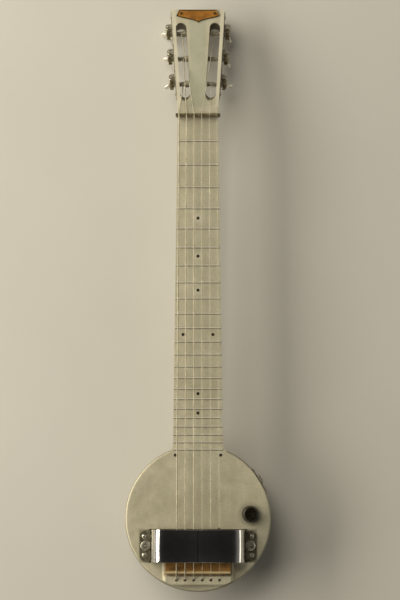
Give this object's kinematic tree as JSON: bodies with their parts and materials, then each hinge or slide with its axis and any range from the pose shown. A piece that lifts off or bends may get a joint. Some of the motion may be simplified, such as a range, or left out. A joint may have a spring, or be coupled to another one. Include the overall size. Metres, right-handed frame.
{
  "type": "lap steel guitar",
  "caption": "Early electric lap steel guitar: round cast-metal pan and neck in one piece, horseshoe-magnet pickup, slotted headstock with working worm tuners.",
  "frame": {"origin": "centre of the pan's flat back face", "axes": "+Z out of the playing face, +Y up the neck towards the headstock, +X to the treble side"},
  "size_m": [0.181, 0.7394, 0.0883],
  "materials": {
    "cast_aluminium": "sand-cast, hand-polished, dull and mottled with age",
    "black_enamel": "black enamel fill",
    "nut_metal": "darkened metal",
    "aged_brass": "tarnished, bright along the crest",
    "badge_copper": "oxidised copper tone with a dark rim",
    "nickel_plate": "worn nickel plate",
    "button_metal": "worn nickel-plated metal buttons",
    "gear_brass": "dull brass",
    "screw_steel": "dark plated steel",
    "magnet_chrome": "chrome plate with fine scratches",
    "frame_nickel": "dull nickel plate",
    "bobbin_black": "black fibre",
    "coil_wire": "enamelled copper wire under tape",
    "knob_bakelite": "moulded black bakelite",
    "wire_cloth": "cloth-covered hookup wire",
    "plain_string": "plain steel wire",
    "wound_string": "wound wire"
  },
  "bodies": {
    "instrument": {"body_casting": "cast_aluminium", "position_dots": "black_enamel", "nut": "nut_metal", "bridge_saddle": "aged_brass", "badge_plate": "badge_copper", "badge_pins": "badge_copper", "tuner_plate_left": "nickel_plate", "tuner_plate_right": "nickel_plate", "tuner_brackets_left": "nickel_plate", "tuner_brackets_right": "nickel_plate", "tuner_plate_screws": "screw_steel", "magnet_left": "magnet_chrome", "magnet_right": "magnet_chrome", "pickup_frame": "frame_nickel", "pickup_bobbin": "bobbin_black", "pickup_coil": "coil_wire", "pole_pieces": "screw_steel", "ear_screws": "screw_steel", "pickup_screws": "screw_steel", "magnet_screws": "screw_steel", "volume_pot": "nickel_plate", "pot_nut": "nickel_plate", "output_jack": "nickel_plate", "jack_nut": "nickel_plate", "jack_plate": "nickel_plate", "jack_plate_screws": "screw_steel", "wiring": "wire_cloth", "string_1": "plain_string", "string_2": "plain_string", "string_3": "wound_string", "string_4": "wound_string", "string_5": "wound_string", "string_6": "wound_string"},
    "key_1": {"worm_1": "nickel_plate", "button_1": "button_metal"},
    "roller_1": {"post_1": "nickel_plate", "gear_1": "gear_brass"},
    "key_2": {"worm_2": "nickel_plate", "button_2": "button_metal"},
    "roller_2": {"post_2": "nickel_plate", "gear_2": "gear_brass"},
    "key_3": {"worm_3": "nickel_plate", "button_3": "button_metal"},
    "roller_3": {"post_3": "nickel_plate", "gear_3": "gear_brass"},
    "key_4": {"worm_4": "nickel_plate", "button_4": "button_metal"},
    "roller_4": {"post_4": "nickel_plate", "gear_4": "gear_brass"},
    "key_5": {"worm_5": "nickel_plate", "button_5": "button_metal"},
    "roller_5": {"post_5": "nickel_plate", "gear_5": "gear_brass"},
    "key_6": {"worm_6": "nickel_plate", "button_6": "button_metal"},
    "roller_6": {"post_6": "nickel_plate", "gear_6": "gear_brass"},
    "volume": {"pot_shaft": "nickel_plate", "volume_knob": "knob_bakelite"}
  },
  "joints": [
    {"name": "key_1_turn", "type": "hinge", "parent": "instrument", "child": "key_1", "pos_m": [0.03396, 0.55652, 0.01891], "axis": [0, 0.2079, 0.9781], "continuous": true},
    {"name": "roller_1_turn", "type": "hinge", "parent": "instrument", "child": "roller_1", "pos_m": [0.02802, 0.54816, 0.02069], "axis": [0.9981, -0.0602, 0.0128], "continuous": true},
    {"name": "key_2_turn", "type": "hinge", "parent": "instrument", "child": "key_2", "pos_m": [0.03611, 0.59069, 0.01165], "axis": [0, 0.2079, 0.9781], "continuous": true},
    {"name": "roller_2_turn", "type": "hinge", "parent": "instrument", "child": "roller_2", "pos_m": [0.03017, 0.58233, 0.01342], "axis": [0.9981, -0.0602, 0.0128], "continuous": true},
    {"name": "key_3_turn", "type": "hinge", "parent": "instrument", "child": "key_3", "pos_m": [0.03826, 0.62486, 0.00438], "axis": [0, 0.2079, 0.9781], "continuous": true},
    {"name": "roller_3_turn", "type": "hinge", "parent": "instrument", "child": "roller_3", "pos_m": [0.03233, 0.6165, 0.00616], "axis": [0.9981, -0.0602, 0.0128], "continuous": true},
    {"name": "key_4_turn", "type": "hinge", "parent": "instrument", "child": "key_4", "pos_m": [-0.03826, 0.62486, 0.00438], "axis": [0, 0.2079, 0.9781], "continuous": true},
    {"name": "roller_4_turn", "type": "hinge", "parent": "instrument", "child": "roller_4", "pos_m": [-0.03233, 0.6165, 0.00616], "axis": [0.9981, 0.0602, -0.0128], "continuous": true},
    {"name": "key_5_turn", "type": "hinge", "parent": "instrument", "child": "key_5", "pos_m": [-0.03611, 0.59069, 0.01165], "axis": [0, 0.2079, 0.9781], "continuous": true},
    {"name": "roller_5_turn", "type": "hinge", "parent": "instrument", "child": "roller_5", "pos_m": [-0.03017, 0.58233, 0.01342], "axis": [0.9981, 0.0602, -0.0128], "continuous": true},
    {"name": "key_6_turn", "type": "hinge", "parent": "instrument", "child": "key_6", "pos_m": [-0.03396, 0.55652, 0.01891], "axis": [0, 0.2079, 0.9781], "continuous": true},
    {"name": "roller_6_turn", "type": "hinge", "parent": "instrument", "child": "roller_6", "pos_m": [-0.02802, 0.54816, 0.02069], "axis": [0.9981, 0.0602, -0.0128], "continuous": true},
    {"name": "volume_turn", "type": "hinge", "parent": "instrument", "child": "volume", "pos_m": [0.0645, 0.005, 0.045], "axis": [0, 0, 1], "range_deg": [-150, 150]}
  ],
  "couplings": [
    {"joint": "roller_1_turn", "follows": "key_1_turn", "ratio": -0.071429},
    {"joint": "roller_2_turn", "follows": "key_2_turn", "ratio": -0.071429},
    {"joint": "roller_3_turn", "follows": "key_3_turn", "ratio": -0.071429},
    {"joint": "roller_4_turn", "follows": "key_4_turn", "ratio": -0.071429},
    {"joint": "roller_5_turn", "follows": "key_5_turn", "ratio": -0.071429},
    {"joint": "roller_6_turn", "follows": "key_6_turn", "ratio": -0.071429}
  ]
}
